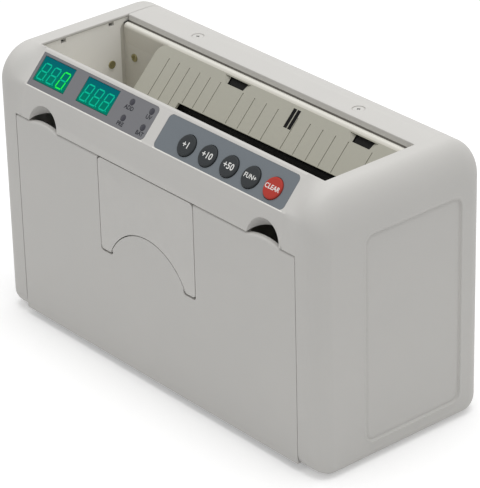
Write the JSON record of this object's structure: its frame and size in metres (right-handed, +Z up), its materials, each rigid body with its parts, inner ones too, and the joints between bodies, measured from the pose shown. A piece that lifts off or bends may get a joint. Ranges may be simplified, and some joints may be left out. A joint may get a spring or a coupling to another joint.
{
  "type": "banknote counter",
  "caption": "Portable banknote counter with an open top hopper and ribbed feed plate, a sloping panel with digit displays and round keys, and a fold-down front door with a flap.",
  "frame": {"origin": "on the table under the middle of the machine's box", "axes": "+X along the front to the right as the user faces it, +Y to the back, +Z up"},
  "size_m": [0.22, 0.094, 0.132],
  "materials": {
    "casing": "light warm grey moulded plastic, fine matt",
    "frame_plastic": "off-white moulded plastic",
    "plate_plastic": "pale grey moulded plastic",
    "base_plastic": "dark grey moulded plastic",
    "guide_plastic": "charcoal moulded plastic",
    "black_plastic": "black plastic",
    "lamp_plastic": "dark lamp lens",
    "display_label": "printed grey film",
    "keypad_label": "printed blue-grey film",
    "display_green": "green digit filter",
    "key_dark": "charcoal key",
    "key_red": "red key",
    "roller_rubber": "black rubber",
    "belt_rubber": "black flat belt",
    "pulley_plastic": "ivory plastic",
    "steel": "bright steel",
    "screw_steel": "bright steel screws",
    "screw_zinc": "yellow zinc screws",
    "bush_brass": "sintered bronze",
    "board_green": "green circuit board",
    "cell_wrap": "plain wrapped cells"
  },
  "bodies": {
    "housing": {"base_plate": "base_plastic", "battery_cells": "cell_wrap", "battery_contacts": "steel", "battery_tray": "base_plastic", "case_screws": "screw_zinc", "control_board": "board_green", "control_panel": "casing", "count_display": "display_green", "dc_jack": "black_plastic", "display_label": "display_label", "feed_plate": "plate_plastic", "front_note_guide": "guide_plastic", "hopper_sensor": "black_plastic", "indicator_leds": "lamp_plastic", "key_switches": "black_plastic", "keypad_label": "keypad_label", "left_bearing_plate": "steel", "left_end_casing": "casing", "left_side_frame": "frame_plastic", "main_board": "board_green", "motor_belt": "belt_rubber", "motor_body": "steel", "pick_belt": "belt_rubber", "pocket_liner": "plate_plastic", "power_switch_body": "black_plastic", "preset_display": "display_green", "rear_cover": "casing", "rear_cover_screws": "screw_steel", "retard_rollers": "roller_rubber", "right_bearing_plate": "steel", "right_end_casing": "casing", "right_side_frame": "frame_plastic", "roller_pins": "steel", "rubber_feet": "roller_rubber", "sensor_bar": "black_plastic", "shaft_bushes": "bush_brass", "stacker_back_plate": "guide_plastic", "top_crossbar": "steel", "transport_belt": "belt_rubber"},
    "door": {"front_door": "casing", "door_hinge_pins": "steel"},
    "flap": {"door_flap": "casing"},
    "key_add_one": {"button_add_one": "key_dark"},
    "key_add_ten": {"button_add_ten": "key_dark"},
    "key_add_fifty": {"button_add_fifty": "key_dark"},
    "key_function": {"button_function": "key_dark"},
    "key_clear": {"button_clear": "key_red"},
    "switch_rocker": {"power_rocker": "black_plastic"},
    "battery_hatch": {"battery_door": "casing"},
    "feed_roller": {"feed_shaft": "steel", "feed_rollers": "roller_rubber", "feed_pulley": "pulley_plastic"},
    "pick_roller": {"pick_shaft": "steel", "pick_rollers": "roller_rubber", "pick_pulley": "pulley_plastic"},
    "transport_roller": {"transport_shaft": "steel", "transport_rollers": "roller_rubber", "transport_pulley": "pulley_plastic"},
    "motor_rotor": {"motor_pulley": "pulley_plastic"},
    "pinch_roller": {"pinch_rollers": "pulley_plastic"}
  },
  "joints": [
    {"name": "door_hinge", "type": "hinge", "parent": "housing", "child": "door", "pos_m": [0, -0.0415, 0.008], "axis": [1, 0, 0], "range_deg": [0, 55]},
    {"name": "flap_hinge", "type": "hinge", "parent": "door", "child": "flap", "pos_m": [0, -0.0458, 0.058], "axis": [1, 0, 0], "range_deg": [0, 90]},
    {"name": "press_add_one", "type": "slide", "parent": "housing", "child": "key_add_one", "axis": [0, 0.7338, -0.6794], "range_m": [0, 0.0006], "stiffness_N_per_m": 400},
    {"name": "press_add_ten", "type": "slide", "parent": "housing", "child": "key_add_ten", "axis": [0, 0.7338, -0.6794], "range_m": [0, 0.0006], "stiffness_N_per_m": 400},
    {"name": "press_add_fifty", "type": "slide", "parent": "housing", "child": "key_add_fifty", "axis": [0, 0.7338, -0.6794], "range_m": [0, 0.0006], "stiffness_N_per_m": 400},
    {"name": "press_function", "type": "slide", "parent": "housing", "child": "key_function", "axis": [0, 0.7338, -0.6794], "range_m": [0, 0.0006], "stiffness_N_per_m": 400},
    {"name": "press_clear", "type": "slide", "parent": "housing", "child": "key_clear", "axis": [0, 0.7338, -0.6794], "range_m": [0, 0.0006], "stiffness_N_per_m": 400},
    {"name": "power_rock", "type": "hinge", "parent": "housing", "child": "switch_rocker", "pos_m": [-0.0815, 0.0426, 0.0482], "axis": [1, 0, 0], "range_deg": [0, 20]},
    {"name": "battery_hatch_pull", "type": "slide", "parent": "housing", "child": "battery_hatch", "axis": [0, 1, 0], "range_m": [0, 0.03]},
    {"name": "feed_spin", "type": "hinge", "parent": "housing", "child": "feed_roller", "pos_m": [0, 0.0135, 0.08505], "axis": [1, 0, 0], "continuous": true},
    {"name": "pick_spin", "type": "hinge", "parent": "housing", "child": "pick_roller", "pos_m": [0, 0.02226, 0.11875], "axis": [1, 0, 0], "continuous": true},
    {"name": "transport_spin", "type": "hinge", "parent": "housing", "child": "transport_roller", "pos_m": [0, 0.012, 0.06105], "axis": [1, 0, 0], "continuous": true},
    {"name": "motor_spin", "type": "hinge", "parent": "housing", "child": "motor_rotor", "pos_m": [0, 0.033, 0.07005], "axis": [1, 0, 0], "continuous": true},
    {"name": "pinch_spin", "type": "hinge", "parent": "housing", "child": "pinch_roller", "pos_m": [0, -0.0028, 0.06105], "axis": [1, 0, 0], "continuous": true}
  ],
  "couplings": [
    {"joint": "pick_spin", "follows": "feed_spin", "ratio": 1},
    {"joint": "transport_spin", "follows": "feed_spin", "ratio": 1.2},
    {"joint": "motor_spin", "follows": "feed_spin", "ratio": 1.95},
    {"joint": "pinch_spin", "follows": "feed_spin", "ratio": -2.28}
  ]
}
